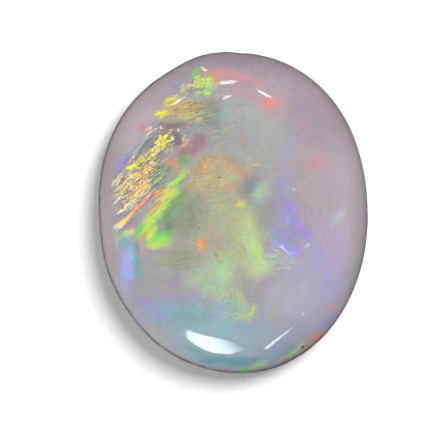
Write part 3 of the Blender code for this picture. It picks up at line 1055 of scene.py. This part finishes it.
class OPAL_OT_build_stone(bpy.types.Operator):
    """Build the opal stone at the world origin, lying on its flat back"""

    bl_idname = "opal.build_stone"
    bl_label = "Build the stone"
    bl_options = {"REGISTER", "UNDO"}

    def execute(self, context):
        sizes = context.scene.opal_sizes
        stone = bpy.data.objects.new("opal_stone", build_stone(sizes))
        stone.data.materials.append(opal_material(context.scene.opal_looks))
        context.scene.collection.objects.link(stone)
        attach(stone, "root")
        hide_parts(NODE)
        return {"FINISHED"}


def add_disc(context, name, radius, segments, height, colour):
    """A flat round thing of the stage, in matt paint."""
    bm = bmesh.new()
    bmesh.ops.create_circle(bm, cap_ends=True, segments=segments, radius=radius)
    mesh = bpy.data.meshes.new(name)
    bm.to_mesh(mesh)
    bm.free()
    material = bpy.data.materials.new(name)
    material.use_nodes = True
    shader = material.node_tree.nodes["Principled BSDF"]
    shader.inputs["Base Color"].default_value = colour
    shader.inputs["Roughness"].default_value = 0.9
    shader.inputs["Specular IOR Level"].default_value = 0.0
    mesh.materials.append(material)
    disc = bpy.data.objects.new(name, mesh)
    disc.location.z = height
    context.scene.collection.objects.link(disc)
    return disc


def hide_from_all_but_gloss(thing):
    """Only polished surfaces see it, as a reflection."""
    thing.visible_camera = False
    thing.visible_diffuse = False
    thing.visible_shadow = False
    thing.visible_transmission = False
    thing.visible_volume_scatter = False


def add_camera(context):
    """The camera straight above the stone."""
    data = bpy.data.cameras.new("camera")
    data.lens = LENS
    data.sensor_width = SENSOR
    data.clip_start = 1.0 * MM
    data.clip_end = 1.0
    camera = bpy.data.objects.new("camera", data)
    distance = VIEW_WIDTH * LENS / SENSOR
    camera.location = (*VIEW_CENTRE, GIRDLE_TOP + distance)
    context.scene.collection.objects.link(camera)
    context.scene.camera = camera
    return camera


def add_light(context, name, power, size, distance, azimuth, elevation):
    """A round soft light turned to the stone. The dome doesn't mirror it."""
    data = bpy.data.lights.new(name, "AREA")
    data.shape = "DISK"
    data.size = size
    data.energy = power
    light = bpy.data.objects.new(name, data)
    around, up = math.radians(azimuth), math.radians(elevation)
    direction = Vector((math.cos(around) * math.cos(up), math.sin(around) * math.cos(up), math.sin(up)))
    light.location = direction * distance
    light.rotation_mode = "QUATERNION"
    light.rotation_quaternion = direction.to_track_quat("Z", "Y")
    light.visible_glossy = False
    light.visible_camera = False
    context.scene.collection.objects.link(light)


def add_fill(context, studio):
    """Even light from all round."""
    world = bpy.data.worlds.new("studio")
    world.use_nodes = True
    background = world.node_tree.nodes["Background"]
    background.inputs["Color"].default_value = (1.0, 1.0, 1.0, 1.0)
    background.inputs["Strength"].default_value = studio.sky
    context.scene.world = world


def glow_material(studio):
    """Light of the mirrored shapes; how bright it is at each place comes from the mesh."""
    material = bpy.data.materials.new("reflection_glow")
    material.use_nodes = True
    tree = material.node_tree
    tree.nodes.clear()
    board = Board(tree)
    glow = board.add("ShaderNodeVertexColor", {"layer_name": "glow"}, {}, "Color")
    light = board.add("ShaderNodeEmission", {}, {"Color": glow, "Strength": studio.reflection})
    board.add("ShaderNodeOutputMaterial", {}, {"Surface": light}, None)
    return material


def finer(things, steps):
    """The same run of number groups, with steps - 1 blends between each and the next."""
    blends = []
    for before, after in zip(things, things[1:]):
        blends += [blend(before, after, step / steps) for step in range(steps)]
    return blends + [things[-1]]


def blend(before, after, share):
    """A number, or any nest of numbers, that share of the way from one to the other."""
    if isinstance(before, tuple):
        return tuple(blend(b, a, share) for b, a in zip(before, after))
    return before + (after - before) * share


def add_reflector(context, name, strip, camera, material):
    """A light panel placed so that the dome mirrors it to the camera as the given strip."""
    sizes = context.scene.opal_sizes
    bm = bmesh.new()
    glow = bm.loops.layers.float_color.new("glow")
    bright = {}
    rows = []
    for upper, lower in finer(strip, STRIP_STEPS):
        row = []
        for x, y, light in finer((upper, lower), STRIP_STEPS):
            x, y = x * MM, y * MM
            place = Vector((x, y, dome_height(sizes, x, y)))
            look = (place - camera.location).normalized()
            mirrored = look.reflect(dome_normal(sizes, x, y))
            vert = bm.verts.new(place + mirrored * REFLECTOR_DISTANCE)
            bright[vert] = light
            row.append(vert)
        rows.append(row)
    for row, after in zip(rows, rows[1:]):
        for a, b, c, d in zip(row, row[1:], after, after[1:]):
            face = bm.faces.new((a, b, d, c))
            for loop in face.loops:
                tinted = [part * bright[loop.vert] for part in GLOW_TINT]
                loop[glow] = (*tinted, 1.0)
    mesh = bpy.data.meshes.new(name)
    bm.to_mesh(mesh)
    bm.free()
    mesh.materials.append(material)
    panel = bpy.data.objects.new(name, mesh)
    hide_from_all_but_gloss(panel)
    context.scene.collection.objects.link(panel)


class OPAL_OT_set_stage(bpy.types.Operator):
    """Set up the pale table, the soft studio light and the camera"""

    bl_idname = "opal.set_stage"
    bl_label = "Set the stage"
    bl_options = {"REGISTER", "UNDO"}

    def execute(self, context):
        studio = context.scene.opal_studio
        context.scene.view_settings.view_transform = "Standard"
        camera = add_camera(context)
        table = add_disc(context, "table", *TABLE, tuple(studio.table_colour))
        table.visible_glossy = False
        # Only the polish mirrors the dark card, so that the steep edge doesn't shine like the table
        card = add_disc(context, "dark_card", *DARK_CARD)
        hide_from_all_but_gloss(card)
        add_light(context, "key_light", studio.key_power, *KEY_LIGHT)
        add_light(context, "side_light", studio.side_power, *SIDE_LIGHT)
        add_fill(context, studio)
        glow = glow_material(studio)
        for name, strip in REFLECTIONS.items():
            add_reflector(context, "reflector_" + name, strip, camera, glow)
        return {"FINISHED"}


class OPAL_PT_panel(bpy.types.Panel):
    """Lists the stone's sizes and looks and the buttons that build them"""

    bl_idname = "OPAL_PT_panel"
    bl_label = "Opal cabochon"
    bl_space_type = "VIEW_3D"
    bl_region_type = "UI"
    bl_category = "Opal"

    def draw(self, context):
        for title, group, operator in (
            ("Stone", "opal_sizes", OPAL_OT_build_stone.bl_idname),
            ("Looks", "opal_looks", None),
            ("Studio", "opal_studio", OPAL_OT_set_stage.bl_idname),
        ):
            box = self.layout.box()
            box.label(text=title)
            settings = getattr(context.scene, group)
            for name in settings.__annotations__:
                box.prop(settings, name)
            if operator:
                box.operator(operator)


CLASSES = (
    StoneSizes,
    StoneLooks,
    StudioSettings,
    OPAL_OT_build_stone,
    OPAL_OT_set_stage,
    OPAL_PT_panel,
)

GROUPS = {"opal_sizes": StoneSizes, "opal_looks": StoneLooks, "opal_studio": StudioSettings}


def register():
    for found in CLASSES:
        bpy.utils.register_class(found)
    for name, group in GROUPS.items():
        setattr(bpy.types.Scene, name, PointerProperty(type=group))


def unregister():
    for name in GROUPS:
        delattr(bpy.types.Scene, name)
    for found in reversed(CLASSES):
        bpy.utils.unregister_class(found)


def main():
    register()
    bpy.ops.opal.build_stone()
    bpy.ops.opal.set_stage()


if __name__ == "__main__":
    main()
